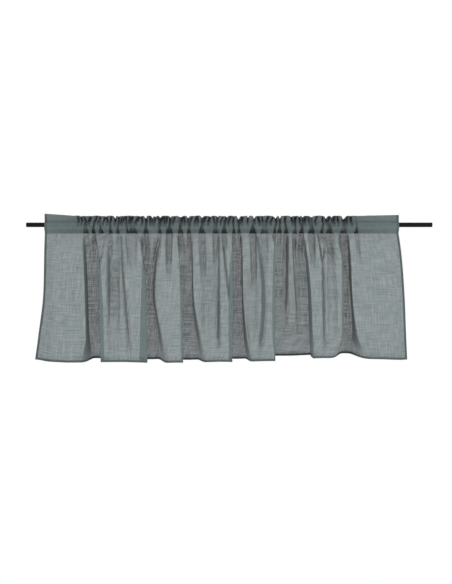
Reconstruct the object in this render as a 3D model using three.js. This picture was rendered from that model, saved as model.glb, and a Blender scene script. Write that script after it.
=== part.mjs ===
// Short curtain (a valance) gathered on a plain rod, in millimetres. The origin is on the rod's axis at
// mid-length. X runs along the rod, Y points away from the room and Z is up, so cloth that stands out into
// the room lies towards -Y. A depth below is a distance out into the room.
import * as THREE from "three";

// Rod
const ROD_LENGTH = 1400;
const ROD_DIAMETER = 16;
const ROD_SIDES = 32;
const ROD_CLEARANCE = 0.6;

// Cloth, and the heights of the parts that the sewing makes above the skirt
const CLOTH = 1.5;
const HEM_CLOTH = 2.4;
const HEM_WIDTH = 7.5;
const HEM_STEP = 2;
const HEADER_HEIGHT = 25;
const HEADER_SLUMP = 7.5;
const CHANNEL_HEIGHT = 44;
const UPPER_SEAM_Z = 13.5;
const LOWER_SEAM_Z = UPPER_SEAM_Z - CHANNEL_HEIGHT;
const SEAM_ALLOWANCE = 2;

// Distances below the upper seam between which the channel stands fully open around the rod
const CHANNEL_OPEN_FROM = 7;
const CHANNEL_OPEN_TO = 23.5;

// The seam's two ends along the rod, and the ungathered cloth at each end
const SEAM_LEFT = -637;
const SEAM_RIGHT = 585;
const FLAT_LEFT = 110;
const FLAT_RIGHT = 140;
const FLAT_COLUMN_SPACING = 26;

// Gathers stand about this far apart along the rod, and four columns of points give each its ridge and its
// valley
const GATHER_PITCH = 22;
const LARGEST_GATHER_DEPTH = 9;
const COLUMNS_PER_GATHER = 4;
const GATHER_UNEVENNESS = 0.07;
const GATHER_WEAKENING = 0.4;
const GATHER_WANDER = 0.37;
const GATHER_START_TURNS = 0.5;
const GATHER_FADE_POWER = 4;
const LARGEST_SWING = 2;
const ZONE_PHASE_STEP = 2.4;

// Further down, gathers run together in pairs, which are deepest a third of the way down and fade above the
// hem
const PAIRED_FOLD_DEPTH = 5;
const PAIRED_FOLD_PEAK = 6.75;
const PAIRED_FOLD_FADE_POWER = 2;
const PAIRED_START_TURNS = 2;

// The main folds grow from the seam to the hem, most of all in the upper part
const FOLD_GROWTH_POWER = 3.8;
const SKIRT_ROWS = [0.07, 0.15, 0.33, 0.65];

// The hem seen from above, from left to right: each panel lies flat from one place along the rod to
// another, at its depth, and the cloth swings over from panel to panel. The drop column is the cloth's
// length there from the lower seam to the hem. The late column says how late the cloth moves along the rod
// on its way down, where less than 1 is early. The seam column says where the swing after a panel starts, up
// at the seam.
const PANELS = [
  { name: "left edge", from: -676, to: -676, depth: 4, drop: 440, late: 2.4, seam: null },
  { name: "front 1", from: -602, to: -580, depth: 55, drop: 445, late: 1.2, seam: -502 },
  { name: "trough 1", from: -468, to: -460, depth: -50, drop: 443, late: 0.6, seam: -450 },
  { name: "front 2", from: -427, to: -302, depth: 56, drop: 442, late: 0.5, seam: -308 },
  { name: "trough 2", from: -288, to: -280, depth: -54, drop: 445, late: 2.5, seam: -232 },
  { name: "front 3", from: -205, to: -178, depth: 58, drop: 445, late: 0.5, seam: -178 },
  { name: "trough 3", from: -157, to: -148, depth: -46, drop: 446, late: 3, seam: -120 },
  { name: "front 4", from: -70, to: -7, depth: 56, drop: 441, late: 1, seam: 9 },
  { name: "trough 4", from: 13, to: 25, depth: -50, drop: 443, late: 3, seam: 52 },
  { name: "front 5", from: 106, to: 138, depth: 51, drop: 439, late: 1, seam: 157 },
  { name: "trough 5", from: 196, to: 274, depth: -61, drop: 435, late: 1, seam: 257 },
  { name: "front 6", from: 302, to: 324, depth: 40, drop: 429, late: 1, seam: 372 },
  { name: "trough 6", from: 410, to: 420, depth: -64, drop: 427, late: 1.8, seam: 410 },
  { name: "front 7", from: 490, to: 572, depth: 49, drop: 435, late: 1.2, seam: null },
  { name: "right edge", from: 619, to: 619, depth: 8, drop: 437, late: 0.75, seam: null },
];

const INTEGRATION_STEPS = 60;
const BISECTION_STEPS = 40;
const SLOPE_STEP_ACROSS = 3;
const SLOPE_STEP_DOWN = 0.5;

function lerp(from, to, share) {
  return from + (to - from) * share;
}

function clamp01(value) {
  return Math.min(1, Math.max(0, value));
}

// A point from its place along the rod, its depth into the room and its height
function place(x, depth, z) {
  return new THREE.Vector3(x, -depth, z);
}

// Mean of a function over half a turn
function halfTurnMean(wave) {
  let sum = 0;
  for (let step = 0; step < INTEGRATION_STEPS; step += 1) {
    sum += wave(((step + 0.5) * Math.PI) / INTEGRATION_STEPS);
  }
  return sum / INTEGRATION_STEPS;
}

// The value between low and high where a falling function crosses zero
function solveFalling(low, high, falling) {
  let bottom = low;
  let top = high;
  for (let step = 0; step < BISECTION_STEPS; step += 1) {
    const middle = (bottom + top) / 2;
    if (falling(middle) > 0) {
      bottom = middle;
    } else {
      top = middle;
    }
  }
  return (bottom + top) / 2;
}

// Cloth that swings round to an angle and back moves along by this share of its length
function swingAlong(angle) {
  return halfTurnMean((turn) => Math.cos(angle * Math.sin(turn)));
}

// and aside by this share
function swingAside(angle) {
  return halfTurnMean((turn) => Math.sin(angle * Math.sin(turn)));
}

// The hem as runs of cloth, flat panels and swings in turn, each with where it starts in the cloth
function hemRuns() {
  const runs = [];
  let across = 0;
  PANELS.forEach((panel, index) => {
    const width = panel.to - panel.from;
    runs.push({ across, length: width, angle: 0, seam: null, start: panel, end: panel });
    across += width;
    const next = PANELS[index + 1];
    if (next !== undefined) {
      const along = next.from - panel.to;
      const aside = next.depth - panel.depth;
      const balance = (angle) => swingAlong(angle) * Math.abs(aside) - swingAside(angle) * along;
      const angle = solveFalling(0, Math.PI, balance);
      const length = Math.abs(aside) / swingAside(angle);
      const signedAngle = Math.sign(aside) * angle;
      runs.push({ across, length, angle: signedAngle, seam: panel.seam, start: panel, end: next });
      across += length;
    }
  });
  return runs;
}

const HEM_RUNS = hemRuns();
const CLOTH_WIDTH = HEM_RUNS[HEM_RUNS.length - 1].across;

function runAt(across) {
  return HEM_RUNS.findLast((run) => run.across <= across);
}

// A column of the panels, blended over the swing from one panel to the next
function blended(across, column) {
  const run = runAt(across);
  const share = run.length > 0 ? (across - run.across) / run.length : 0;
  return lerp(run.start[column], run.end[column], share);
}

// Length of the cloth from the lower seam to the hem
function skirtDrop(across) {
  return blended(across, "drop");
}

// Place of the hem for cloth at a distance across from the left edge
function hemPlace(across) {
  const run = runAt(across);
  const step = (across - run.across) / INTEGRATION_STEPS;
  let x = run.angle === 0 ? run.start.from : run.start.to;
  let depth = run.start.depth;
  for (let index = 0; index < INTEGRATION_STEPS; index += 1) {
    const share = run.length > 0 ? ((index + 0.5) * step) / run.length : 0;
    const heading = run.angle * Math.sin(Math.PI * share);
    x += Math.cos(heading) * step;
    depth += Math.sin(heading) * step;
  }
  return { x, depth };
}

// Gathered stretches of the seam, each from the middle of one swing to the middle of the next, with how far
// their gathers shift the cloth aside. Each has half a gather over, so that every swing goes on from a
// gather's flank that slopes the same way.
function gatherZones() {
  const ends = [{ across: FLAT_LEFT, x: SEAM_LEFT + FLAT_LEFT }];
  HEM_RUNS.forEach((run) => {
    if (run.seam !== null) {
      ends.push({ across: run.across + run.length / 2, x: run.seam });
    }
  });
  ends.push({ across: CLOTH_WIDTH - FLAT_RIGHT, x: SEAM_RIGHT - FLAT_RIGHT });
  const zones = [];
  let turnsBefore = 0;
  for (let order = 1; order < ends.length; order += 1) {
    const from = ends[order - 1];
    const to = ends[order];
    const cloth = to.across - from.across;
    const width = to.x - from.x;
    const gathers = Math.round(width / GATHER_PITCH - 0.5) + 0.5;
    const swing = solveFalling(0, LARGEST_SWING, (angle) => swingAlong(angle) - width / cloth);
    const radius = cloth / gathers / (2 * Math.PI);
    const shift = 2 * radius * halfTurnMean((turn) => Math.sin(swing * Math.sin(turn)) * Math.sin(turn));
    const aside = Math.min(shift, LARGEST_GATHER_DEPTH);
    zones.push({ from, to, cloth, gathers, aside, turnsBefore, order });
    turnsBefore += gathers;
  }
  return zones;
}

const ZONES = gatherZones();
const ALL_GATHERS = ZONES.reduce((sum, zone) => sum + zone.gathers, 0);
const GATHER_DEPTH = Math.max(...ZONES.map((zone) => zone.aside));

function zoneAt(across) {
  return ZONES.find((zone) => across > zone.from.across && across < zone.to.across);
}

function zoneUnevenness(zone, share) {
  return GATHER_UNEVENNESS * Math.sin(2 * Math.PI * share) * Math.sin(ZONE_PHASE_STEP * zone.order);
}

// Gathers counted from the left up to a place in the cloth
function gatherTurns(zone, across) {
  const share = (across - zone.from.across) / zone.cloth;
  return zone.turnsBefore + zone.gathers * share + zoneUnevenness(zone, share);
}

// Place along the rod of the seam, before its gathers are added
function seamX(across) {
  if (across <= FLAT_LEFT) {
    return SEAM_LEFT + across;
  }
  if (across >= CLOTH_WIDTH - FLAT_RIGHT) {
    return SEAM_RIGHT - (CLOTH_WIDTH - across);
  }
  const zone = ZONES.findLast((candidate) => candidate.from.across <= across);
  return lerp(zone.from.x, zone.to.x, (across - zone.from.across) / zone.cloth);
}

// Shift of the cloth by its gathers, and by its paired folds further down
function gatherShift(across) {
  const zone = zoneAt(across);
  if (zone === undefined) {
    return { aside: 0, paired: 0 };
  }
  const turns = gatherTurns(zone, across);
  const phase = 2 * Math.PI * turns;
  const inset = Math.min(turns, ALL_GATHERS - turns);
  const strength = 1 - GATHER_WEAKENING * (0.5 + 0.5 * Math.sin(GATHER_WANDER * phase));
  return {
    aside: zone.aside * strength * clamp01(inset / GATHER_START_TURNS) * Math.sin(phase),
    paired: PAIRED_FOLD_DEPTH * clamp01(inset / PAIRED_START_TURNS) * Math.sin(phase / 2 + ZONE_PHASE_STEP),
  };
}

// How gathered the cloth is: nothing at the side edges, and fully where the gathers start
function gatheredShare(across) {
  return clamp01(Math.min(across / FLAT_LEFT, (CLOTH_WIDTH - across) / FLAT_RIGHT));
}

// The gathered cloth at a seam, seen from above, moved square to itself by an offset
function seamPlace(across, offset) {
  const depth = gatherShift(across).aside;
  const before = Math.max(0, across - SLOPE_STEP_ACROSS);
  const after = Math.min(CLOTH_WIDTH, across + SLOPE_STEP_ACROSS);
  const stepX = seamX(after) - seamX(before);
  const stepDepth = gatherShift(after).aside - gatherShift(before).aside;
  const step = Math.hypot(stepX, stepDepth);
  return { x: seamX(across) - (stepDepth / step) * offset, depth: depth + (stepX / step) * offset };
}

// The main folds at a share of the way down the skirt, before gathers. Their depth and their way along the
// rod grow at their own rates.
function foldPlace(across, share) {
  const hem = hemPlace(across);
  const grown = 1 - (1 - share) ** FOLD_GROWTH_POWER;
  const late = blended(across, "late");
  const along = late > 1 ? share ** late : 1 - (1 - share) ** (1 / late);
  return { x: lerp(seamX(across), hem.x, along), depth: hem.depth * grown };
}

// Middle of the skirt's cloth. It keeps its length from seam to hem, so cloth that leans ends a little
// higher, and its gathers die out where a main fold turns it in or out of the room.
function skirt(across, down) {
  const share = clamp01(down / skirtDrop(across));
  const fold = foldPlace(across, share);
  const before = foldPlace(Math.max(0, across - SLOPE_STEP_ACROSS), share);
  const after = foldPlace(Math.min(CLOTH_WIDTH, across + SLOPE_STEP_ACROSS), share);
  const step = Math.hypot(after.x - before.x, after.depth - before.depth);
  const alongX = (after.x - before.x) / step;
  const alongDepth = (after.depth - before.depth) / step;
  const shift = gatherShift(across);
  const fade = (1 - share) ** GATHER_FADE_POWER;
  const pairing = PAIRED_FOLD_PEAK * share * (1 - share) ** PAIRED_FOLD_FADE_POWER;
  const aside = Math.max(0, alongX) * (shift.aside * fade + shift.paired * pairing);
  const hem = hemPlace(across);
  const lean = Math.hypot(hem.x - seamX(across), hem.depth);
  const fall = Math.sqrt(skirtDrop(across) ** 2 - lean ** 2);
  return place(fold.x - alongDepth * aside, fold.depth + alongX * aside, LOWER_SEAM_Z - share * fall);
}

// How open the channel is at a distance below its upper seam
function channelOpening(down) {
  const opening = down / CHANNEL_OPEN_FROM;
  const closing = (CHANNEL_HEIGHT - down) / (CHANNEL_HEIGHT - CHANNEL_OPEN_TO);
  return clamp01(Math.min(opening, closing));
}

// Middle of one of the channel's two layers, the room side (1) or the far side (-1) of the rod
function channelLayer(side) {
  return (across, down) => {
    const seam = seamPlace(across, (side * CLOTH) / 2);
    const open = ROD_DIAMETER / 2 + ROD_CLEARANCE + GATHER_DEPTH * gatheredShare(across);
    return place(seam.x, seam.depth + side * open * channelOpening(down), UPPER_SEAM_Z - down);
  };
}

// Direction square to the cloth, on its room side
function roomSide(surface, across, down) {
  const left = surface(Math.max(0, across - SLOPE_STEP_ACROSS), down);
  const right = surface(Math.min(CLOTH_WIDTH, across + SLOPE_STEP_ACROSS), down);
  const above = surface(across, down - SLOPE_STEP_DOWN);
  const below = surface(across, down + SLOPE_STEP_DOWN);
  return below.sub(above).cross(right.sub(left)).normalize();
}

function inSideHem(across) {
  return across <= HEM_WIDTH || across >= CLOTH_WIDTH - HEM_WIDTH;
}

function layerThickness(across) {
  return inSideHem(across) ? HEM_CLOTH : CLOTH;
}

// A face of one layer of cloth, on its room side (1) or its far side (-1)
function layerFace(surface, downAt, side, thicknessAt) {
  return (across) => {
    const down = downAt(across);
    const offset = (side * thicknessAt(across)) / 2;
    return surface(across, down).addScaledVector(roomSide(surface, across, down), offset);
  };
}

// A face of the two layers that are sewn together, at a height above the upper seam or below it
function sewnFace(heightAt, side) {
  return (across) => {
    const seam = seamPlace(across, side * layerThickness(across));
    return place(seam.x, seam.depth, heightAt(across));
  };
}

// The header's top edge sinks from its left corner to where the gathers start
function headerTop(across) {
  return UPPER_SEAM_Z + HEADER_HEIGHT - HEADER_SLUMP * clamp01(across / FLAT_LEFT);
}

// Faces of the cloth on one side, from the hem up to the header's top edge
function facesUpward(side) {
  const aboveHem = (height) => (across) => skirtDrop(across) - height;
  const faces = [
    layerFace(skirt, skirtDrop, side, () => HEM_CLOTH),
    layerFace(skirt, aboveHem(HEM_WIDTH), side, () => HEM_CLOTH),
    layerFace(skirt, aboveHem(HEM_WIDTH + HEM_STEP), side, layerThickness),
  ];
  SKIRT_ROWS.toReversed().forEach((share) => {
    faces.push(layerFace(skirt, (across) => share * skirtDrop(across), side, layerThickness));
  });
  const layer = channelLayer(side);
  faces.push(sewnFace(() => LOWER_SEAM_Z, side));
  faces.push(layerFace(layer, () => CHANNEL_OPEN_TO, side, layerThickness));
  faces.push(layerFace(layer, () => CHANNEL_OPEN_FROM, side, layerThickness));
  faces.push(sewnFace(() => UPPER_SEAM_Z, side));
  faces.push(sewnFace(headerTop, side));
  return faces;
}

// The channel's inner faces, once round the rod
function facesRoundRod() {
  const room = channelLayer(1);
  const far = channelLayer(-1);
  const bothLayers = (z) => (across) => {
    const seam = seamPlace(across, 0);
    return place(seam.x, seam.depth, z);
  };
  return [
    bothLayers(LOWER_SEAM_Z + SEAM_ALLOWANCE),
    layerFace(room, () => CHANNEL_OPEN_TO, -1, layerThickness),
    layerFace(room, () => CHANNEL_OPEN_FROM, -1, layerThickness),
    bothLayers(UPPER_SEAM_Z - SEAM_ALLOWANCE),
    layerFace(far, () => CHANNEL_OPEN_FROM, 1, layerThickness),
    layerFace(far, () => CHANNEL_OPEN_TO, 1, layerThickness),
  ];
}

// Places across the cloth that carry a column of points
function columns() {
  const list = [];
  const addFlat = (from, to) => {
    const count = Math.ceil((to - from) / FLAT_COLUMN_SPACING);
    for (let index = 0; index <= count; index += 1) {
      list.push(lerp(from, to, index / count));
    }
  };
  list.push(0, HEM_WIDTH);
  addFlat(HEM_WIDTH + HEM_STEP, FLAT_LEFT);
  ZONES.forEach((zone) => {
    const count = zone.gathers * COLUMNS_PER_GATHER;
    for (let index = 0; index < count; index += 1) {
      const share = (index + 0.5) / count;
      const evened = share - zoneUnevenness(zone, share) / zone.gathers;
      list.push(zone.from.across + zone.cloth * evened);
    }
  });
  addFlat(CLOTH_WIDTH - FLAT_RIGHT, CLOTH_WIDTH - HEM_WIDTH - HEM_STEP);
  list.push(CLOTH_WIDTH - HEM_WIDTH, CLOTH_WIDTH);
  return list;
}

// One closed body: the cloth's outer faces and its channel run from side to side, and each side edge closes
// them
function curtainGeometry() {
  const outer = [...facesUpward(1), ...facesUpward(-1).toReversed()];
  const inner = facesRoundRod();
  const ring = outer.length + inner.length;
  const upperSeam = outer.length / 2 - 2;
  const lowerSeam = upperSeam - inner.length / 2;
  const across = columns();
  const points = across.map((value) => [...outer, ...inner].map((face) => face(value)));
  const index = [];
  const addFace = (a, b, c, turned) => {
    index.push(a, turned ? c : b, turned ? b : c);
  };
  // A loop climbs the room side and comes down the far side. Both sides split their quads along the same
  // diagonal, so that the sheet keeps its thickness where it twists.
  const addLoop = (first, count, turned) => {
    for (let column = 0; column + 1 < across.length; column += 1) {
      for (let step = 0; step < count; step += 1) {
        const here = column * ring + first + step;
        const next = column * ring + first + ((step + 1) % count);
        if (step < count / 2) {
          addFace(here, here + ring, next + ring, turned);
          addFace(here, next + ring, next, turned);
        } else {
          addFace(here, here + ring, next, turned);
          addFace(here + ring, next + ring, next, turned);
        }
      }
    }
  };
  addLoop(0, outer.length, false);
  addLoop(outer.length, inner.length, true);
  // A side edge: strips across the skirt and the header, and round the channel
  const addSide = (column, turned) => {
    const corner = (step) => column * ring + step;
    const addStrip = (left, right, from, to) => {
      for (let step = from; step < to; step += 1) {
        addFace(corner(left(step)), corner(left(step + 1)), corner(right(step + 1)), turned);
        addFace(corner(left(step)), corner(right(step + 1)), corner(right(step)), turned);
      }
    };
    const far = (step) => outer.length - 1 - step;
    const roomInner = (step) => outer.length + step - lowerSeam;
    const farInner = (step) => outer.length + ((inner.length + lowerSeam - step) % inner.length);
    const room = (step) => step;
    addStrip(room, far, 0, lowerSeam);
    addStrip(room, far, upperSeam, upperSeam + 1);
    addStrip(room, roomInner, lowerSeam, upperSeam);
    addStrip(farInner, far, lowerSeam, upperSeam);
    addFace(corner(room(lowerSeam)), corner(roomInner(lowerSeam)), corner(far(lowerSeam)), turned);
    addFace(corner(room(upperSeam)), corner(far(upperSeam)), corner(roomInner(upperSeam)), turned);
  };
  addSide(0, false);
  addSide(across.length - 1, true);
  const geometry = new THREE.BufferGeometry().setFromPoints(points.flat());
  geometry.setIndex(index);
  geometry.computeVertexNormals();
  return geometry;
}

function makeCurtain() {
  const material = new THREE.MeshStandardMaterial({ color: 0x8f9897, roughness: 0.95, metalness: 0 });
  const mesh = new THREE.Mesh(curtainGeometry(), material);
  mesh.name = "curtain";
  return mesh;
}

function makeRod() {
  const geometry = new THREE.CylinderGeometry(ROD_DIAMETER / 2, ROD_DIAMETER / 2, ROD_LENGTH, ROD_SIDES);
  const material = new THREE.MeshStandardMaterial({ color: 0x141414, roughness: 0.45, metalness: 0.2 });
  const mesh = new THREE.Mesh(geometry, material);
  mesh.rotation.z = Math.PI / 2;
  mesh.name = "rod";
  return mesh;
}

const valance = new THREE.Group();
valance.add(makeCurtain(), makeRod());

export default valance;
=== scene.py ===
# Semi-sheer valance gathered on a black rod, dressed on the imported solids
import math
from collections import namedtuple

import bpy
import numpy as np
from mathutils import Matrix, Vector


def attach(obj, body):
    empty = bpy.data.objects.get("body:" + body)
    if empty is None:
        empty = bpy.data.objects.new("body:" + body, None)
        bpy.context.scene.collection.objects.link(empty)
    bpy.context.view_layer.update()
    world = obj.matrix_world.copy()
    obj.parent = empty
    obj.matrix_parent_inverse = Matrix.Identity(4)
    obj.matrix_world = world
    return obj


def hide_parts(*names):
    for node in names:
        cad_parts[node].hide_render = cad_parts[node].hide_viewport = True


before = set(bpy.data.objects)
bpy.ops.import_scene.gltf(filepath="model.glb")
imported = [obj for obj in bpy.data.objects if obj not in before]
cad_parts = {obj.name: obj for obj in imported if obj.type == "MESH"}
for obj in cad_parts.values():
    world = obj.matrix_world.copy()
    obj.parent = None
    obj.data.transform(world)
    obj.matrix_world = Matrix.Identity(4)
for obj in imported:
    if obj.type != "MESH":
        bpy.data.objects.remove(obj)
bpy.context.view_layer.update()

MM = 0.001

# The rod in millimetres, and the ring that rounds its bevel, as shares of the bevel along and in
ROD_LENGTH = 1400.0
ROD_DIAMETER = 16.0
ROD_CLEARANCE = 0.6
ROD_BEVEL = 0.7
ROD_BEVEL_RING = (0.2, 0.3)
ROD_CENTRE_RADIUS = 0.02
ROD_SIDES = 72
ROD_RINGS = 24

# The cloth in millimetres: its hem, the heights that the sewing makes, its seam's two ends along the rod, the
# flat stretches beside them, and how far back it reaches
HEM_WIDTH = 7.5
HEADER_HEIGHT = 28.0
HEADER_SLUMP = 7.5
GATHERED_HEADER = HEADER_HEIGHT - HEADER_SLUMP
CHANNEL_HEIGHT = 41.0
UPPER_SEAM_Z = 10.5
LOWER_SEAM_Z = UPPER_SEAM_Z - CHANNEL_HEIGHT
SEAM_LEFT = -637.0
SEAM_RIGHT = 585.0
FLAT_LEFT = 110.0
FLAT_RIGHT = 148.0
BACK_REACH = 66.0

# The channel: distances below the upper seam between which it stands fully open around the rod, and how far
# it bulges off the rod where it is gathered
CHANNEL_OPEN_FROM = 7.0
CHANNEL_OPEN_TO = 20.5
CHANNEL_BULGE = 9.0

# Hems turned twice: lines of points across a hem, the gap between layers, and the layers of a side hem. The
# header's two layers lie on each other, with only the smallest gap to tell them apart.
HEM_LINES = (0.0, 2.0, 4.0, 6.0, HEM_WIDTH)
LAYER_GAP = 0.5
HEM_LAYERS = 3
SMALLEST_GAP = 1e-6

# How softly the gathers start beside the flat ends, and how much of its slump the header loses at the right
GATHER_EASE_POWER = 3
TOP_EASE_POWER = 4
RIGHT_RISE = 0.4

# Gathers above the lower seam: their depth at that seam, round the rod and from the upper seam up, and their
# width from the upper seam down, as shares of what they measure in the skirt. The least depth is a pit's.
PIT_SHARE = 1.4
ROUND_ROD_SHARE = 0.6
PINCHED_SHARE = 0.3
PIT_NARROWING = 0.35
PIT_WIDTHS = (PIT_NARROWING, PIT_NARROWING, 0.95, 1.1)
PIT_WIDTHS_AT = (0.0, 0.33, 0.8, 1.0)
PIT_LEAST = 14.0

# How they sway on their way up, their fine wrinkles and the uneven top edge: sizes, lengths along the rod,
# seeds of their waves, and how much and how soon wrinkles change with height
SWAY = 9.0
SWAY_LENGTH = 24.0
SWAY_SEED = 2.0
WRINKLE_DEPTH = 1.6
WRINKLE_LENGTH = 12.0
WRINKLE_SEED = 7.0
WRINKLE_DRIFT = 3.0
WRINKLE_GROWTH = 4
TOP_UNEVENNESS = 1.2
UNEVEN_LENGTH = 16.0
TOP_SEED = 1.0

# Pleats of the header: how far below the upper seam they reach, how soon they are full above it, their shares
# at that seam and at the top edge, and their fullness
PLEAT_REACH = 20.0
PLEAT_RISE = 6.0
PLEAT_AT_SEAM = 0.7
PLEAT_EASE = 0.3
PLEAT_FULLNESS = 1.25

# Painted shade: how much darker the cloth's colour is painted where it lies in layers and where shade falls
# in its recesses, from 0 for one layer to 1 for the bottom of a pit: over the channel, more where it is
# gathered, along the seams for their stitching and the shade where the cloth pinches, and on the hem, more
# where it lies back in a trough;
# and how far from a seam or up a pit that painted shade reaches
CHANNEL_SHADE = 0.05
GATHERED_SHADE = 0.12
HEM_SHADE = 0.34
SUNK_HEM_SHADE = 0.75
SEAM_STITCHING_AND_SHADE = 0.24
SEAM_REACH = 3.0
PIT_SHADE_DEPTH = 6.5
PIT_SHADE_REACH = 34.0
PIT_SHADE_UNEVENNESS = 0.5
PIT_SHADE_SEED = 4.0

# How well the cloth covers on the steep sides of folds and along tight creases, the slope and the depth that
# this takes, and the half width of the widest tight crease
STEEP_FROM = 0.8
TIGHT_FROM = 13.0
TIGHT_WIDTH = 10.0
STEEP_COVER = 0.97

# Gathers below the lower seam, and how the folds grow out of them down the skirt
RIDGE_HEIGHT = 5.0
RIDGE_FADE_POWER = 5.0
VALLEY_EDGE_POWER = 6
VALLEY_NARROWING = 0.35
VALLEY_FADE_FROM = 0.3
SEAM_FULLNESS = 1.4
VALLEY_DEEPENING = 0.9
VALLEY_DEEPEST_AT = 0.05
HOLLOW_FADE_FROM = 0.5
FOLD_GROWTH_POWER = 8.0
STATIONS = (0.0, 0.46, 0.8, 1.0)
SEAM_EASE = 1.5

# How soon creases begin in the skirt, at the seam and up the channel, and where along them they fade
CREASE_GROWTH = 8
SEAM_CREASE_GROWTH = 20
SEAM_CREASE_START = 0.3
CHANNEL_CREASE_FADE = 3
CREASE_END_FROM = 0.65
CREASE_FADE_FROM = 0.84

# Points along a panel and along the side of a fold, the spacing of columns across the cloth, and its rows
PANEL_POINTS = 6
SIDE_POINTS = 24
COLUMN_SPACING = 2.75
SKIRT_ROWS = 48
ROW_SPREAD_POWER = 0.85
CHANNEL_ROWS = 12
HEADER_ROWS = 9

# The waves that add up to a slow uneven one
Wave = namedtuple("Wave", "size pace start")
WAVES = (Wave(0.5, 1.7, 0.4), Wave(0.3, 2.9, 2.1), Wave(0.2, 4.3, 5.0))

# The skirt's panels between the sides of its folds: their depth out into the room, the cloth's length there
# from the lower seam to the hem, and where they start and end along the rod at the stations down the skirt
Panel = namedtuple("Panel", "name depth length seam middle low hem")
PANELS = (
    Panel("left edge", 4, 437, (-637, -637), (-644, -644), (-663, -663), (-676, -676)),
    Panel("front 1", 55, 444, (-575, -503), (-590, -492), (-598, -490), (-602, -512)),
    Panel("trough 1", -50, 443, (-504, -464), (-499, -448), (-495, -444), (-478, -443)),
    Panel("front 2", 56, 442, (-450, -313), (-443, -282), (-443, -280), (-440, -279)),
    Panel("trough 2", -57, 449, (-299, -240), (-312, -275), (-317, -256), (-320, -254)),
    Panel("front 3", 58, 444, (-231, -183), (-248, -161), (-225, -157), (-202, -157)),
    Panel("trough 3", -42, 447, (-178, -133), (-174, -132), (-172, -121), (-170, -113)),
    Panel("front 4", 56, 441, (-124, 9), (-120, 13), (-94, 13), (-72, 11)),
    Panel("trough 4", -48, 445, (15, 41), (-3, 43), (-3, 48), (-2, 56)),
    Panel("front 5", 51, 439, (45, 152), (48, 157), (62, 158), (84, 158)),
    Panel("trough 5", -64, 438, (159, 255), (153, 278), (153, 284), (161, 288)),
    Panel("front 6", 40, 429, (257, 375), (280, 393), (287, 392), (292, 344)),
    Panel("trough 6", -62, 429, (390, 410), (399, 428), (400, 437), (405, 422)),
    Panel("front 7", 49, 433, (411, 530), (419, 550), (438, 564), (490, 572)),
    Panel("right edge", 8, 437, (585, 585), (606, 606), (614, 614), (619, 619)),
)

# Valleys between the gathers below the lower seam: places along the rod at the seam and at their foot, the
# share of the skirt's height where they have died out, their half width and their depth
Valley = namedtuple("Valley", "top foot end width depth")
VALLEYS = (
    Valley(-494, -493, 0.26, 9, 8),
    Valley(-468, -476, 0.24, 6, 17),
    Valley(-441, -445, 0.28, 8, 7),
    Valley(-409, -408, 0.2, 6, 8),
    Valley(-384, -384, 0.14, 5, 8),
    Valley(-351, -339, 0.25, 4, 8),
    Valley(-332, -329, 0.32, 16, 12),
    Valley(-287, -284, 0.3, 8, 18),
    Valley(-239, -244, 0.3, 6, 6),
    Valley(-207, -206, 0.42, 11, 19),
    Valley(-168, -160, 0.25, 8, 17),
    Valley(-139, -139, 0.2, 6, 16),
    Valley(-95, -87, 0.42, 11, 14),
    Valley(-48, -47, 0.3, 9, 14),
    Valley(-18, -14, 0.16, 9, 15),
    Valley(16, 17, 0.1, 5, 12),
    Valley(34, 34, 0.1, 5, 12),
    Valley(81, 88, 0.52, 11, 20),
    Valley(121, 120, 0.35, 13, 12),
    Valley(156, 157, 0.1, 5, 12),
    Valley(173, 173, 0.15, 8, 12),
    Valley(196, 194, 0.34, 7, 17),
    Valley(226, 230, 0.2, 6, 16),
    Valley(249, 253, 0.3, 7, 18),
    Valley(284, 287, 0.32, 11, 16),
    Valley(318, 320, 0.14, 6, 12),
    Valley(345, 351, 0.3, 11, 16),
    Valley(394, 400, 0.2, 11, 14),
    Valley(438, 446, 0.3, 7, 7),
)

# Broader hollows in the skirt, and a ridge of negative depth, which open below the seam: places along the rod
# at their top and foot, the share of the skirt's height where they have died out, their half widths at top
# and foot, and their depth
Hollow = namedtuple("Hollow", "top foot end width foot_width depth")
HOLLOWS = (
    Hollow(-396, -393, 0.9, 21, 17, 50),
    Hollow(-68, -62, 1.0, 31, 27, 40),
    Hollow(211, 223, 0.92, 6, 26, -58),
    Hollow(345, 362, 1.1, 13, 17, 20),
)

# Creases in the skirt: places along the rod at their top and foot, their depth (negative is away from the
# room), their half width, the shares of the skirt's height where they start and end, and how far they bow to
# the right halfway
Crease = namedtuple("Crease", "top foot depth width start end bow", defaults=(0,))
CREASES = (
    Crease(-522, -570, -5, 24, 0.0, 0.75),
    Crease(-424, -446, -15, 3.5, 0.0, 0.3),
    Crease(-412, -413, -15, 5, 0.08, 1.0),
    Crease(-374, -336, -20, 5.5, 0.0, 1.1),
    Crease(-357, -338, -15, 3.5, 0.0, 0.3),
    Crease(-262, -288, 30, 14, 0.0, 0.34),
    Crease(-37, -37, -22, 3.4, 0.0, 1.0),
    Crease(-37, -36, -11, 8, 0.4, 1.5),
    Crease(-22, 0, -18, 4.5, 0.06, 0.55),
    Crease(92, 76, -23, 8, 0.0, 1.2, 33),
    Crease(78, 82, -28, 24, 0.2, 1.0),
    Crease(306, 320, -22, 3.4, 0.0, 0.26),
    Crease(332, 320, -22, 3.4, 0.0, 0.26),
    Crease(320, 332, -19, 4.4, 0.16, 1.3),
)

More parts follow.
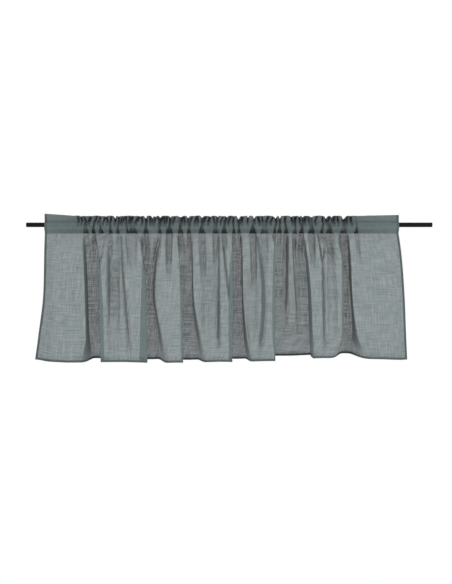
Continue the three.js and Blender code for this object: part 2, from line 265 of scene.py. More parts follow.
# Pleats of the header: places along the rod at the upper seam, how far they lean to the right on their way
# up, their half width, their depth, and how far the top edge dips at them
Pleat = namedtuple("Pleat", "foot lean width depth drop")
PLEATS = (
    Pleat(-519, -3, 4, 6, 0),
    Pleat(-507, -5, 3, 9, 2),
    Pleat(-495, -7, 3, 9, 0),
    Pleat(-484, 7, 4.5, 11, 1),
    Pleat(-463, 8, 3, 10, 0),
    Pleat(-451, 8, 3, 8, 0),
    Pleat(-434, 8, 3, 10, 2),
    Pleat(-419, -6, 3, 9, 0),
    Pleat(-410, 4, 3, 8, 0),
    Pleat(-393, -1, 3.5, 9, 8),
    Pleat(-381, -1, 3, 9, 3),
    Pleat(-375, 7, 2.5, 9, 0),
    Pleat(-368, 10, 3, 10, 0),
    Pleat(-356, -1, 3, 9, 0),
    Pleat(-346, 3, 3, 8, 0),
    Pleat(-341, 9, 4, 12, 0),
    Pleat(-322, 14, 5, 11, 1),
    Pleat(-300, -2, 3, 10, 0),
    Pleat(-285, -4, 3.5, 12, 9),
    Pleat(-272, -2, 3, 12, 0),
    Pleat(-265, 0, 3, 6, 7),
    Pleat(-258, 4, 3, 9, 3),
    Pleat(-241, -8, 3, 7, 0),
    Pleat(-238, 0, 4, 4, 6),
    Pleat(-236, 8, 4, 11, 0),
    Pleat(-225, 1, 2.5, 8, 0),
    Pleat(-218, 4, 3.5, 11, 0),
    Pleat(-205, 2, 3, 10, 5),
    Pleat(-194, 7, 3.5, 10, 0),
    Pleat(-170, 0, 6, 3, 5),
    Pleat(-163, 0, 3, 10, 2),
    Pleat(-153, -5, 3, 9, 0),
    Pleat(-142, 0, 4, 6, 7),
    Pleat(-134, 7, 3, 9, 0),
    Pleat(-118, 7, 3.5, 10, 0),
    Pleat(-108, -2, 3, 9, 0),
    Pleat(-94, 0, 4, 5, 6),
    Pleat(-89, 9, 4, 11, 0),
    Pleat(-72, 7, 4, 11, 3),
    Pleat(-51, -5, 3, 9, 0),
    Pleat(-42, 2, 3, 9, 5),
    Pleat(-30, 10, 3, 10, 0),
    Pleat(-15, 7, 3.5, 11, 5),
    Pleat(-3, 9, 3.5, 11, 0),
    Pleat(13, 3, 3, 8, 2),
    Pleat(32, 0, 4.5, 10, 12),
    Pleat(42, 4, 4, 11, 0),
    Pleat(63, 2, 3, 8, 7),
    Pleat(87, -1, 3.5, 9, 9),
    Pleat(104, -6, 4, 11, 0),
    Pleat(115, -2, 3, 9, 0),
    Pleat(127, 10, 3.5, 11, 0),
    Pleat(142, 12, 3.5, 10, 2),
    Pleat(162, -2, 3.5, 11, 8),
    Pleat(175, 0, 3, 9, 10),
    Pleat(192, 2, 3, 9, 0),
    Pleat(217, -3, 3, 10, 3),
    Pleat(225, 5, 4, 11, 0),
    Pleat(243, -1, 3, 11, 5),
    Pleat(253, 0, 3, 5, 5),
    Pleat(260, 4, 4, 11, 0),
    Pleat(274, 0, 3, 9, 0),
    Pleat(284, 0, 5, 3, 4),
    Pleat(296, 7, 3, 10, 0),
    Pleat(322, 0, 3, 9, 0),
    Pleat(334, 0, 4, 9, 9),
    Pleat(340, 8, 3, 9, 0),
    Pleat(353, 0, 3, 5, 5),
    Pleat(360, 4, 4, 11, 0),
    Pleat(375, -2, 3, 10, 0),
    Pleat(395, 0, 6, 9, 10),
    Pleat(405, 2, 3, 10, 0),
    Pleat(420, -2, 4, 11, 1),
)


def smoothstep(value):
    """An eased step from nothing at zero to one at one."""
    value = np.clip(value, 0, 1)
    return value * value * (3 - 2 * value)


def fade(value, start):
    """One up to a start, and eased from there to nothing at one."""
    return 1 - smoothstep((value - start) / (1 - start))


def fold_places(share):
    """Where each panel starts and ends along the rod at a share of the skirt's height, on smooth curves."""
    places = np.array([(panel.seam, panel.middle, panel.low, panel.hem) for panel in PANELS], float)
    steps = np.diff(places, axis=1) / np.diff(STATIONS)[None, :, None]
    above, below = steps[:, :-1], steps[:, 1:]
    onward = above * below > 0
    inner = np.where(onward, 2 * above * below / np.where(onward, above + below, 1), 0)
    slopes = np.concatenate([SEAM_EASE * steps[:, :1], inner, steps[:, -1:]], axis=1)
    part = min(int(np.searchsorted(STATIONS, share, side="right")) - 1, len(STATIONS) - 2)
    length = STATIONS[part + 1] - STATIONS[part]
    turn = (share - STATIONS[part]) / length
    straight = places[:, part] + (places[:, part + 1] - places[:, part]) * smoothstep(turn)
    leaning = (1 - turn) * slopes[:, part] - turn * slopes[:, part + 1]
    return straight + length * turn * (1 - turn) * leaning


def fold_growth(share):
    """How far the folds have grown at a share of the skirt's height."""
    return 1 - (1 - share) ** FOLD_GROWTH_POWER


def fold_plan(share):
    """The skirt seen from above at a share of its height: points along the rod and out into the room."""
    grown = fold_growth(share)
    places = fold_places(share)
    turn = np.linspace(0, 1, SIDE_POINTS, endpoint=False)
    x, depth = [], []
    for order, panel in enumerate(PANELS):
        start, end = places[order]
        x.append(np.linspace(start, end, PANEL_POINTS, endpoint=False))
        depth.append(np.full(PANEL_POINTS, panel.depth * grown))
        if panel is not PANELS[-1]:
            aside = PANELS[order + 1].depth - panel.depth
            x.append(end + (places[order + 1][0] - end) * turn)
            depth.append((panel.depth + aside * (0.5 - 0.5 * np.cos(math.pi * turn))) * grown)
    x.append([places[-1][1]])
    depth.append([PANELS[-1].depth * grown])
    return np.concatenate(x), np.concatenate(depth)


def run_length(x, depth):
    """Length along a plan from its left end."""
    return np.concatenate([[0], np.cumsum(np.hypot(np.diff(x), np.diff(depth)))])


CLOTH_WIDTH = float(run_length(*fold_plan(1.0))[-1])


def fold_row(across, share):
    """The plan's points at places across the cloth, where what isn't in folds is taken up in gathers."""
    x, depth = fold_plan(share)
    run = run_length(x, depth)
    flat = (0, FLAT_LEFT, run[-1] - FLAT_RIGHT, run[-1])
    cloth = np.interp(run, flat, (0, FLAT_LEFT, CLOTH_WIDTH - FLAT_RIGHT, CLOTH_WIDTH))
    return np.interp(across, cloth, x), np.interp(across, cloth, depth)


def seam_x(across):
    """Place along the rod of the seam."""
    at = (0, FLAT_LEFT, CLOTH_WIDTH - FLAT_RIGHT, CLOTH_WIDTH)
    return np.interp(across, at, (SEAM_LEFT, SEAM_LEFT + FLAT_LEFT, SEAM_RIGHT - FLAT_RIGHT, SEAM_RIGHT))


def skirt_length(across):
    """The cloth's length from the lower seam to the hem."""
    run = run_length(*fold_plan(1.0))
    step = PANEL_POINTS + SIDE_POINTS
    middles = [run[min(order * step + PANEL_POINTS // 2, len(run) - 1)] for order in range(len(PANELS))]
    return np.interp(across, middles, [panel.length for panel in PANELS])


def wander(place, seed):
    """A slow uneven wave from -1 to 1, so that no gather is like the next."""
    return sum(wave.size * np.sin(wave.pace * place + wave.start * seed) for wave in WAVES)


def gathered_share(across):
    """Nothing at the side edges, and one where the gathers start."""
    return np.clip(np.minimum(across / FLAT_LEFT, (CLOTH_WIDTH - across) / FLAT_RIGHT), 0, 1)


def eased_gathers(across):
    """The gathered share, eased so that the flat ends stay flat for longer."""
    return gathered_share(across) ** GATHER_EASE_POWER


def dips(x, share, width_share=1.0, least=0.0):
    """Depth of the valleys at places along the rod and down the skirt."""
    depth = np.zeros_like(x)
    for valley in VALLEYS:
        along = np.clip(share / valley.end, 0, 1)
        middle = valley.top + (valley.foot - valley.top) * along
        width = valley.width * width_share * (1 - VALLEY_NARROWING * along)
        profile = np.exp(-(((x - middle) / width) ** VALLEY_EDGE_POWER))
        depth = depth + max(valley.depth, least) * profile * fade(along, VALLEY_FADE_FROM)
    return depth


def hollow_depth(x, share):
    """Depth of the broader hollows at places along the rod and down the skirt."""
    depth = np.zeros_like(x)
    for hollow in HOLLOWS:
        along = np.clip(share / hollow.end, 0, 1)
        middle = hollow.top + (hollow.foot - hollow.top) * along
        width = hollow.width + (hollow.foot_width - hollow.width) * along
        profile = np.exp(-(((x - middle) / width) ** VALLEY_EDGE_POWER))
        depth = depth + hollow.depth * profile * fade(along, HOLLOW_FADE_FROM)
    return depth * fold_growth(share)


def valley_shift(x, share):
    """How far in or out the ridges, valleys and hollows below the lower seam lie."""
    ridges = RIDGE_HEIGHT * (1 - share) ** RIDGE_FADE_POWER
    opened = SEAM_FULLNESS + VALLEY_DEEPENING * smoothstep(share / VALLEY_DEEPEST_AT)
    return (ridges - dips(x, share)) * opened - hollow_depth(x, share)


def pit_shift(x, width_share):
    """How far in or out the ridges and pits above the lower seam lie."""
    return RIDGE_HEIGHT - dips(x, 0.0, width_share, PIT_LEAST)


def crease_shift(x, share, widest=math.inf):
    """Depth of the creases up to a half width, at places along the rod and down the skirt."""
    shift = np.zeros_like(x)
    for crease in CREASES:
        if crease.width > widest:
            continue
        along = (share - crease.start) / (crease.end - crease.start)
        run = np.clip(along, 0, 1)
        middle = crease.top + (crease.foot - crease.top) * run + 4 * crease.bow * run * (1 - run)
        profile = np.exp(-(((x - middle) / crease.width) ** 2))
        grown = along * CREASE_GROWTH if crease.start else along * SEAM_CREASE_GROWTH + SEAM_CREASE_START
        shift += crease.depth * profile * smoothstep(grown) * fade(along, CREASE_END_FROM)
    return shift * fade(share, CREASE_FADE_FROM)


def plan_direction(x, depth):
    """Unit direction of rows of points, seen from above."""
    step_x = np.gradient(x, axis=1)
    step_depth = np.gradient(depth, axis=1)
    length = np.hypot(step_x, step_depth)
    return step_x / length, step_depth / length


def skirt_rows(across, share):
    """Rows of the skirt, at shares of its height below the lower seam."""
    rows = [fold_row(across, one) for one in share]
    x = np.array([row[0] for row in rows])
    depth = np.array([row[1] for row in rows])
    share = share[:, None]
    along_x, along_depth = plan_direction(x, depth)
    valleys = valley_shift(x, share) * eased_gathers(across)
    aside = np.maximum(along_x, 0) * (valleys + crease_shift(x, share))
    fall = np.sqrt(skirt_length(across) ** 2 - fold_row(across, 1.0)[1] ** 2)
    z = LOWER_SEAM_Z - share * fall
    out = np.maximum(depth + along_x * aside, -BACK_REACH)
    return np.stack([x - along_depth * aside, -out, z], axis=2)


def tight_folds(across, share):
    """One along the skirt's creases, where the cloth lies tightly folded, and nothing beside them."""
    x = np.array([fold_row(across, one)[0] for one in share])
    return np.clip(-crease_shift(x, share[:, None], TIGHT_WIDTH) / TIGHT_FROM, 0, 1)


def pleat_shift(x, z):
    """How deep the header's pleats lie, at places along the rod and heights z."""
    height = np.clip((z - UPPER_SEAM_Z) / GATHERED_HEADER, 0, 1)
    shift = np.zeros_like(x)
    for pleat in PLEATS:
        middle = pleat.foot + pleat.lean * height
        shift = shift - PLEAT_FULLNESS * pleat.depth * np.exp(-(((x - middle) / pleat.width) ** 2))
    return shift


def pleat_share(z):
    """How far the pleats have opened at heights z, less at the top edge and not at all below their reach."""
    top = UPPER_SEAM_Z + GATHERED_HEADER
    at = (UPPER_SEAM_Z - PLEAT_REACH, UPPER_SEAM_Z, UPPER_SEAM_Z + PLEAT_RISE, top - PLEAT_RISE, top)
    return np.interp(z, at, (0, PLEAT_AT_SEAM, 1, 1, PLEAT_EASE))


def frill_shift(x, z, width_share):
    """How far in or out the gathers above the lower seam lie, swaying on their way up, with fine wrinkles."""
    height = np.clip((z - LOWER_SEAM_Z) / (CHANNEL_HEIGHT + HEADER_HEIGHT), 0, 1)
    swayed = x + SWAY * wander(x / SWAY_LENGTH, SWAY_SEED) * height
    wrinkles = WRINKLE_DEPTH * wander(swayed / WRINKLE_LENGTH, WRINKLE_SEED + WRINKLE_DRIFT * height)
    creases = crease_shift(x, 0 * z) * (1 - smoothstep(height * CHANNEL_CREASE_FADE))
    return pit_shift(swayed, width_share) + wrinkles * np.minimum(height * WRINKLE_GROWTH, 1) + creases


def seam_rows(across, offset, depth_share, width_share, z):
    """Rows of the gathered cloth at heights z, out in the room by offset, clear of the rod."""
    x = seam_x(across) + 0 * z
    pleats = pleat_shift(x, z) * pleat_share(z)
    depth = (frill_shift(x, z, width_share) * depth_share + pleats) * eased_gathers(across)
    beside_rod = np.sqrt(np.clip((ROD_DIAMETER / 2) ** 2 - z**2, 0, None))
    least = np.where((beside_rod > 0) & (offset > 0), beside_rod + ROD_CLEARANCE - offset, -np.inf)
    depth = np.maximum(depth, least)
    along_x, along_depth = plan_direction(x, depth)
    side = np.sign(offset) * LAYER_GAP / 2
    return np.stack([x - along_depth * side, -(depth + along_x * side + offset), z], axis=2)


def pit_width(down):
    """Width of the gathers at distances below the upper seam, as a share of their width in the skirt."""
    return np.interp(down, np.multiply(PIT_WIDTHS_AT, CHANNEL_HEIGHT), PIT_WIDTHS)


def channel_rows(across, down, side):
    """One layer of the channel, at distances below the upper seam: the room side (1) or the far side (-1)."""
    down = down[:, None]
    opening = np.sqrt(1 - np.clip(1 - down / CHANNEL_OPEN_FROM, 0, 1) ** 2)
    closing = smoothstep((CHANNEL_HEIGHT - down) / (CHANNEL_HEIGHT - CHANNEL_OPEN_TO))
    open_by = ROD_DIAMETER / 2 + ROD_CLEARANCE + CHANNEL_BULGE * gathered_share(across)
    offset = side * (open_by * np.minimum(opening, closing) + SMALLEST_GAP)
    at = (0, CHANNEL_OPEN_FROM, CHANNEL_OPEN_TO, CHANNEL_HEIGHT)
    depth_share = np.interp(down, at, (PINCHED_SHARE, ROUND_ROD_SHARE, ROUND_ROD_SHARE, PIT_SHARE))
    return seam_rows(across, offset, depth_share, pit_width(down), UPPER_SEAM_Z - down + 0 * offset)


def header_rows(across, share, side):
    """One layer of the header, at shares of its height above the upper seam."""
    share = share[:, None]
    gathered = gathered_share(across)
    x = seam_x(across)
    dip = np.zeros_like(x)
    for pleat in PLEATS:
        dip = dip + pleat.drop * np.exp(-(((x - pleat.foot - pleat.lean) / pleat.width) ** 2))
    dip = gathered**TOP_EASE_POWER * (dip - TOP_UNEVENNESS * wander(x / UNEVEN_LENGTH, TOP_SEED))
    at_right = (1 - gathered) * (across > FLAT_LEFT)
    slump = HEADER_SLUMP * np.clip(across / FLAT_LEFT, 0, 1) * (1 - RIGHT_RISE * at_right)
    height = HEADER_HEIGHT - slump - dip
    offset = side * SMALLEST_GAP + 0 * share * height
    return seam_rows(across, offset, PINCHED_SHARE, PIT_NARROWING, UPPER_SEAM_Z + share * height)


def channel_painted_shade(across, rise):
    """Painted shade of the doubled cloth at rises above the lower seam, darkest in the pits and pleats where
    shade falls, and along the seams.
    """
    rise = rise[:, None]
    gathered = eased_gathers(across)
    x = seam_x(across) + 0 * rise
    # Painted shade in the pits and pleats, darkest where they sink deepest
    pit_shade = np.clip(-pit_shift(x, pit_width(CHANNEL_HEIGHT - rise)) / PIT_SHADE_DEPTH, 0, 1)
    reach = PIT_SHADE_REACH * (1 + PIT_SHADE_UNEVENNESS * wander(x / SWAY_LENGTH, PIT_SHADE_SEED))
    pit_shade = pit_shade * (1 - smoothstep(rise / reach))
    z = LOWER_SEAM_Z + rise
    pleat = np.clip(-pleat_shift(x, z) / PIT_SHADE_DEPTH, 0, 1) * pleat_share(z)
    # Darker along both seams: their stitching, and painted shade where the cloth pinches
    seam_stitching_and_shade = np.exp(-((rise / SEAM_REACH) ** 2)) + np.exp(-(((rise - CHANNEL_HEIGHT) / SEAM_REACH) ** 2))
    open_cloth_shade = CHANNEL_SHADE + GATHERED_SHADE * gathered + SEAM_STITCHING_AND_SHADE * seam_stitching_and_shade
    return open_cloth_shade + (1 - open_cloth_shade) * np.maximum(pit_shade, pleat) * gathered


def cloth_columns():
    """Places across the cloth that carry a column of points."""
    count = round((CLOTH_WIDTH - 2 * HEM_WIDTH) / COLUMN_SPACING)
    inside = np.linspace(HEM_WIDTH, CLOTH_WIDTH - HEM_WIDTH, count + 1)[1:-1]
    return np.concatenate([HEM_LINES, inside, CLOTH_WIDTH - np.array(HEM_LINES[::-1])])


def skirt_shares():
    """Shares of the skirt's height that carry a row of points, from the hem up."""
    hem_share = 1 - np.array(HEM_LINES) / PANELS[0].length
    rise = np.linspace(0, 1, SKIRT_ROWS + 1)[1:] ** ROW_SPREAD_POWER
    return np.concatenate([hem_share, hem_share[-1] * (1 - rise)])


def cloth_path(across):
    """The cloth from its hem up the room side, over the header's top edge and down the channel's far side."""
    skirt = skirt_rows(across, skirt_shares())
    front = channel_rows(across, np.linspace(CHANNEL_HEIGHT, 0, CHANNEL_ROWS + 1)[1:], 1)
    frill = np.linspace(0, 1, HEADER_ROWS + 1)[1:]
    header_front = header_rows(across, frill, 1)
    header_back = header_rows(across, frill[::-1], -1)
    back = channel_rows(across, np.linspace(0, CHANNEL_HEIGHT, CHANNEL_ROWS + 1), -1)
    return np.concatenate([skirt, front, header_front, header_back, back])


def face_side(path):
    """Unit directions square to the cloth, on its face, which shows to the room on the skirt."""
    along = np.gradient(path, axis=1)
    up = np.gradient(path, axis=0)
    square = np.cross(along, up)
    return square / np.linalg.norm(square, axis=2, keepdims=True)


def steep_sides(path):
    """How well the cloth covers on the sides of folds, which run out into the room."""
    along = np.gradient(path, axis=1)
    outward = np.abs(along[..., 1]) / np.linalg.norm(along, axis=2)
    return STEEP_COVER * smoothstep((outward - STEEP_FROM) / (1 - STEEP_FROM))


def covering_rows(across, path):
    """How well each point of the path covers on the steep sides of folds and along tight creases."""
    shares = skirt_shares()
    cover = steep_sides(path)
    cover[: len(shares)] = np.maximum(cover[: len(shares)], STEEP_COVER * tight_folds(across, shares))
    return cover


def layered_rows(across, path):
    """Painted shade at each point of the path above the lower seam, most of all on the room side."""
    shade_per_point = np.zeros(path.shape[:2])
    first = len(skirt_shares())
    channel = np.linspace(0, CHANNEL_HEIGHT, CHANNEL_ROWS + 1)[1:]
    header = CHANNEL_HEIGHT + np.linspace(0, GATHERED_HEADER, HEADER_ROWS + 1)[1:]
    front = np.concatenate([channel, header])
    shade_per_point[first:] = CHANNEL_SHADE
    shade_per_point[first : first + len(front)] = channel_painted_shade(across, front)
    return shade_per_point


def turned_hem():
    """Columns or rows of a hem turned twice: their order, and how far behind the face each lies."""
    lines = list(range(len(HEM_LINES)))
    order = lines + lines[::-1]
    behind = [LAYER_GAP] * len(lines) + [2 * LAYER_GAP] * len(lines)
    return order, behind


def cloth_distances(places, order):
    """Distances along the cloth in metres, over places that are taken in an order."""
    return np.cumsum(np.abs(np.diff(places[order], prepend=places[order[0]]))) * MM


def cloth_grid():
    """All points of the cloth with its hems turned, as rows of columns, and the cloth's own coordinates."""
    across = cloth_columns()
    path = cloth_path(across)
    rows, columns = path.shape[:2]
    last = columns - 1
    hem_order, hem_behind = turned_hem()
    row_order = hem_order + list(range(rows))
    row_behind = np.array(hem_behind + [0.0] * rows)
    column_order = hem_order + list(range(columns)) + [last - step for step in hem_order[::-1]]
    column_behind = np.array(hem_behind + [0.0] * columns + hem_behind[::-1])
    turned = np.ix_(row_order, column_order)
    at_foot = np.isin(row_order, hem_order)[:, None]
    at_side = np.isin(column_order, hem_order + [last - step for step in hem_order])[None, :]
    behind = row_behind[:, None] * np.where(at_side, HEM_LAYERS, 1) + column_behind[None, :]
    points = path[turned] - face_side(path)[turned] * behind[..., None]
    length = np.linalg.norm(np.diff(path, axis=0), axis=2).mean(axis=1)
    height = np.concatenate([[0], np.cumsum(length)])
    u = cloth_distances(across, column_order)
    v = cloth_distances(height, row_order)
    # Painted shade on the turned hem, deeper where it lies back in a trough
    sunk = np.clip(path[..., 1] / BACK_REACH, 0, 1)[turned]
    hem_shade = np.where(at_foot | at_side, HEM_SHADE + (SUNK_HEM_SHADE - HEM_SHADE) * sunk, 0.0)
    layer_shade = np.maximum(hem_shade, layered_rows(across, path)[turned])
    return points * MM, u, v, layer_shade, covering_rows(across, path)[turned]


def smooth_piece(name, points, faces):
    """A smooth mesh from points and faces, placed in the scene."""
    mesh = bpy.data.meshes.new(name)
    mesh.from_pydata(points, [], faces)
    mesh.polygons.foreach_set("use_smooth", [True] * len(mesh.polygons))
    mesh.update()
    piece = bpy.data.objects.new(name, mesh)
    bpy.context.collection.objects.link(piece)
    return piece


def grid_object(name, points, u, v, **shares):
    """A smooth mesh from rows of columns of points, with a UV map in metres of cloth."""
    rows, columns = points.shape[:2]
    index = np.arange(rows * columns).reshape(rows, columns)
    corners = [index[:-1, :-1], index[:-1, 1:], index[1:, 1:], index[1:, :-1]]
    quads = np.stack(corners, axis=2).reshape(-1, 4)
    piece = smooth_piece(name, points.reshape(-1, 3).tolist(), quads.tolist())
    layer = piece.data.uv_layers.new(name="Cloth")
    corner = quads.reshape(-1)
    uv = np.stack([u[corner % columns], v[corner // columns]], axis=1)
    layer.data.foreach_set("uv", uv.astype(np.float32).ravel())
    for label, values in shares.items():
        share = piece.data.attributes.new(label, "FLOAT", "POINT")
        share.data.foreach_set("value", values.astype(np.float32).ravel())
    piece.data.update()
    return piece


def rod_object():
    """The rod: a turned bar with softly broken edges at its ends."""
    radius = ROD_DIAMETER / 2
    half = ROD_LENGTH / 2
    along, inward = ROD_BEVEL_RING
    left_end = [
        (-half, ROD_CENTRE_RADIUS),
        (-half, radius - ROD_BEVEL),
        (-half + along * ROD_BEVEL, radius - inward * ROD_BEVEL),
        (-half + ROD_BEVEL, radius),
    ]
    straight = 2 * half - 2 * ROD_BEVEL
    rings = [(-half + ROD_BEVEL + straight * step / ROD_RINGS, radius) for step in range(1, ROD_RINGS)]
    profile = left_end + rings + [(-x, r) for x, r in left_end[::-1]]
    turn = np.linspace(0, 2 * math.pi, ROD_SIDES, endpoint=False)
    points = []
    for x, r in profile:
        points += [(x * MM, r * MM * math.cos(a), r * MM * math.sin(a)) for a in turn]
    faces = []
    for ring in range(len(profile) - 1):
        for side in range(ROD_SIDES):
            a = ring * ROD_SIDES + side
            b = ring * ROD_SIDES + (side + 1) % ROD_SIDES
            faces.append((a, a + ROD_SIDES, b + ROD_SIDES, b))
    last = (len(profile) - 1) * ROD_SIDES
    faces.append(tuple(range(ROD_SIDES)))
    faces.append(tuple(range(last + ROD_SIDES - 1, last - 1, -1)))
    return smooth_piece("painted_rod", points, faces)


# Looks of the cloth and the rod: colours, how often yarns change in a metre along and across themselves, the
# thick yarns' weight, the ranges of the weave that give its tone and its cover, and finishes
DARK_YARN = (0.110, 0.137, 0.140, 1)
PALE_YARN = (0.124, 0.155, 0.159, 1)
# Colour of the painted shade in layered cloth, pits, pleats, seams and hems
LAYER_SHADE_COLOUR = (0.007, 0.009, 0.0095, 1)
FINE_YARNS = (22, 640)
THICK_YARNS = (9, 330)
THICK_YARN_WEIGHT = 0.6
TONE_RANGE = (0.35, 0.65)
COVER_RANGE = (0.39, 0.61)
COVER = (0.78, 0.98)
CLOTH_ROUGHNESS = 0.9
CLOTH_SPECULAR = 0.15
ROD_PAINT = (0.003, 0.003, 0.0032, 1)
ROD_ROUGHNESS = 0.35
ROD_SPECULAR = 0.08


def new_material(name):
    """An empty material with its output, and its nodes and links."""
    material = bpy.data.materials.new(name)
    material.use_nodes = True
    nodes, links = material.node_tree.nodes, material.node_tree.links
    nodes.clear()
    surface = nodes.new("ShaderNodeOutputMaterial").inputs["Surface"]
    return material, nodes, links, surface


def plain_paint(name, colour, roughness, specular):
    """An even paint."""
    material, nodes, links, surface = new_material(name)
    paint = nodes.new("ShaderNodeBsdfPrincipled")
    paint.inputs["Base Color"].default_value = colour
    paint.inputs["Roughness"].default_value = roughness
    paint.inputs["Specular IOR Level"].default_value = specular
    links.new(paint.outputs[0], surface)
    return material


def feed(links, socket, given):
    """Links a socket to another one, or gives it a value."""
    if isinstance(given, bpy.types.NodeSocket):
        links.new(given, socket)
    else:
        socket.default_value = given


def value_of(nodes, links, operation, first, second):
    """The result of one sum on two sockets or numbers."""
    node = nodes.new("ShaderNodeMath")
    node.operation = operation
    feed(links, node.inputs[0], first)
    feed(links, node.inputs[1], second)
    return node.outputs[0]


def mapped(nodes, links, value, source, target=(0, 1)):
    """A value mapped from one range to another."""
    node = nodes.new("ShaderNodeMapRange")
    for label, number in zip(("From Min", "From Max", "To Min", "To Max"), (*source, *target)):
        node.inputs[label].default_value = number
    links.new(value, node.inputs["Value"])
    return node.outputs[0]


def mixed(nodes, links, share, first, second):
    """A colour between two others, which are sockets or colours."""
    node = nodes.new("ShaderNodeMix")
    node.data_type = "RGBA"
    links.new(share, node.inputs["Factor"])
    feed(links, node.inputs["A"], first)
    feed(links, node.inputs["B"], second)
    return node.outputs["Result"]


def point_share(nodes, name):
    """A share that the cloth's points carry."""
    node = nodes.new("ShaderNodeAttribute")
    node.attribute_name = name
    return node.outputs["Fac"]


def stretched_noise(nodes, links, place, scale):
    """Noise on the cloth's own coordinates, stretched by a scale across and along."""
    stretch = nodes.new("ShaderNodeVectorMath")
    stretch.operation = "MULTIPLY"
    links.new(place, stretch.inputs[0])
    stretch.inputs[1].default_value = (*scale, 1)
    noise = nodes.new("ShaderNodeTexNoise")
    noise.noise_dimensions = "2D"
    noise.inputs["Scale"].default_value = 1.0
    noise.inputs["Detail"].default_value = 1.0
    links.new(stretch.outputs[0], noise.inputs["Vector"])
    return noise.outputs[0]


def crossed_yarns(nodes, links, place, scale):
    """Yarns that run across the cloth and yarns that run along it, added up."""
    weft = stretched_noise(nodes, links, place, scale)
    warp = stretched_noise(nodes, links, place, scale[::-1])
    return value_of(nodes, links, "ADD", weft, warp)


def yarn_group():
    """Slubby linen-like yarns: how well they cover."""
    group = bpy.data.node_groups.new("slubby_yarns", "ShaderNodeTree")
    group.interface.new_socket("Cloth Place", in_out="INPUT", socket_type="NodeSocketVector")
    group.interface.new_socket("Cover", in_out="OUTPUT", socket_type="NodeSocketFloat")
    nodes, links = group.nodes, group.links
    place = nodes.new("NodeGroupInput").outputs["Cloth Place"]
    fine = crossed_yarns(nodes, links, place, FINE_YARNS)
    thick = crossed_yarns(nodes, links, place, THICK_YARNS)
    weighed = value_of(nodes, links, "MULTIPLY", thick, THICK_YARN_WEIGHT)
    all_yarns = value_of(nodes, links, "ADD", fine, weighed)
    cover = value_of(nodes, links, "DIVIDE", all_yarns, 2 + 2 * THICK_YARN_WEIGHT)
    links.new(cover, nodes.new("NodeGroupOutput").inputs["Cover"])
    return group


def cloth_material():
    """Semi-sheer cloth, which covers fully where it lies steep, with painted shade darkening it where it lies
    in layers, in pits and pleats, and along seams and hems.
    """
    material, nodes, links, surface = new_material("semi_sheer_cloth")
    place = nodes.new("ShaderNodeUVMap")
    place.uv_map = "Cloth"
    yarns = nodes.new("ShaderNodeGroup")
    yarns.node_tree = yarn_group()
    links.new(place.outputs[0], yarns.inputs["Cloth Place"])
    weave = yarns.outputs["Cover"]
    one_layer = mixed(nodes, links, mapped(nodes, links, weave, TONE_RANGE), DARK_YARN, PALE_YARN)
    # Painted shade: the colour goes toward a dark one by a share that the points carry
    layered = mixed(nodes, links, point_share(nodes, "layered"), one_layer, LAYER_SHADE_COLOUR)
    cover = mapped(nodes, links, weave, COVER_RANGE, COVER)
    cloth = nodes.new("ShaderNodeBsdfPrincipled")
    links.new(layered, cloth.inputs["Base Color"])
    cloth.inputs["Roughness"].default_value = CLOTH_ROUGHNESS
    cloth.inputs["Specular IOR Level"].default_value = CLOTH_SPECULAR
    links.new(value_of(nodes, links, "MAXIMUM", cover, point_share(nodes, "steep")), cloth.inputs["Alpha"])
    links.new(cloth.outputs[0], surface)
    return material


def rod_material():
    """Satin black paint."""
    return plain_paint("satin_black_paint", ROD_PAINT, ROD_ROUGHNESS, ROD_SPECULAR)


# Camera, in millimetres: at the photograph's angle, a little below the rod, aimed at the frame's middle. The
# rod's middle in the frame is in pixels.
FRAME_WIDTH_PX = 452
FRAME_HEIGHT_PX = 584
MM_PER_PX = 3.452
ROD_PX = (229.25, 224.7)
CAMERA_DISTANCE = 2900.0
CAMERA_HEIGHT = -50.0
SENSOR = 36.0


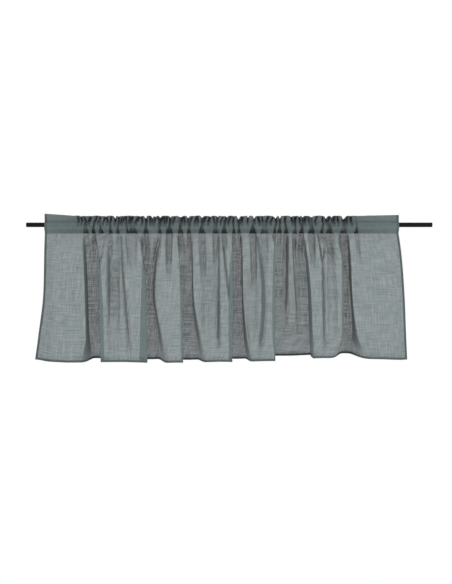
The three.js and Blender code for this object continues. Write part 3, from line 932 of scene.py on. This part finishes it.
def make_camera():
    """A camera whose frame matches the photograph's."""
    data = bpy.data.cameras.new("camera")
    camera = bpy.data.objects.new("camera", data)
    bpy.context.collection.objects.link(camera)
    middle_x = (FRAME_WIDTH_PX / 2 - ROD_PX[0]) * MM_PER_PX
    middle_z = (ROD_PX[1] - FRAME_HEIGHT_PX / 2) * MM_PER_PX
    pitch = math.atan2(CAMERA_HEIGHT - middle_z, CAMERA_DISTANCE)
    reach = CAMERA_DISTANCE * math.cos(pitch) + CAMERA_HEIGHT * math.sin(pitch)
    data.sensor_width = SENSOR
    data.lens = SENSOR * reach / (FRAME_HEIGHT_PX * MM_PER_PX)
    data.dof.use_dof = False
    camera.location = (middle_x * MM, -CAMERA_DISTANCE * MM, CAMERA_HEIGHT * MM)
    camera.rotation_euler = (math.pi / 2 - pitch, 0, 0)
    bpy.context.scene.camera = camera


# Stage and light, in metres and watts
FLOOR_RADIUS = 1.5
FLOOR_Z = -1.95
FLOOR_PAINT = (0.8, 0.8, 0.79, 1)
FLOOR_ROUGHNESS = 0.8
FLOOR_SPECULAR = 0.5
SOFTBOX_WIDTH = 5.0
SOFTBOX_HEIGHT = 3.0
SOFTBOX_AIM = (0.0, 0.0, -0.2)
SOFTBOX_WATTS = 45
SOFTBOXES = (("room_softbox", (0.6, -2.6, 0.2)), ("far_softbox", (0.0, 2.6, 0.2)))


def make_stage():
    """A pale floor well below the hem."""
    place = (0, 0, FLOOR_Z)
    bpy.ops.mesh.primitive_circle_add(vertices=96, radius=FLOOR_RADIUS, fill_type="NGON", location=place)
    floor = bpy.context.object
    floor.name = "floor"
    floor.data.materials.append(plain_paint("pale_floor", FLOOR_PAINT, FLOOR_ROUGHNESS, FLOOR_SPECULAR))


def make_light():
    """Even white light all round, and a broad softbox on either side of the cloth."""
    world = bpy.data.worlds.new("studio")
    bpy.context.scene.world = world
    world.use_nodes = True
    backdrop = world.node_tree.nodes["Background"]
    backdrop.inputs["Color"].default_value = (1, 1, 1, 1)
    backdrop.inputs["Strength"].default_value = 1.0
    for name, place in SOFTBOXES:
        data = bpy.data.lights.new(name, "AREA")
        data.energy = SOFTBOX_WATTS
        data.shape = "RECTANGLE"
        data.size = SOFTBOX_WIDTH
        data.size_y = SOFTBOX_HEIGHT
        light = bpy.data.objects.new(name, data)
        light.location = place
        light.rotation_euler = (Vector(SOFTBOX_AIM) - Vector(place)).to_track_quat("-Z", "Y").to_euler()
        light.visible_camera = False
        bpy.context.collection.objects.link(light)
    bpy.context.scene.view_settings.view_transform = "Standard"


make_camera()
# The cloth's points carry a share of painted shade for its layers, pits, seams and hems
points, u, v, layer_shade, steep = cloth_grid()
curtain = grid_object("valance_cloth", points, u, v, layered=layer_shade, steep=steep)
curtain.data.materials.append(cloth_material())
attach(curtain, "root")
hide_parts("curtain")
rod = rod_object()
rod.data.materials.append(rod_material())
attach(rod, "root")
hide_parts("rod")
make_stage()
make_light()
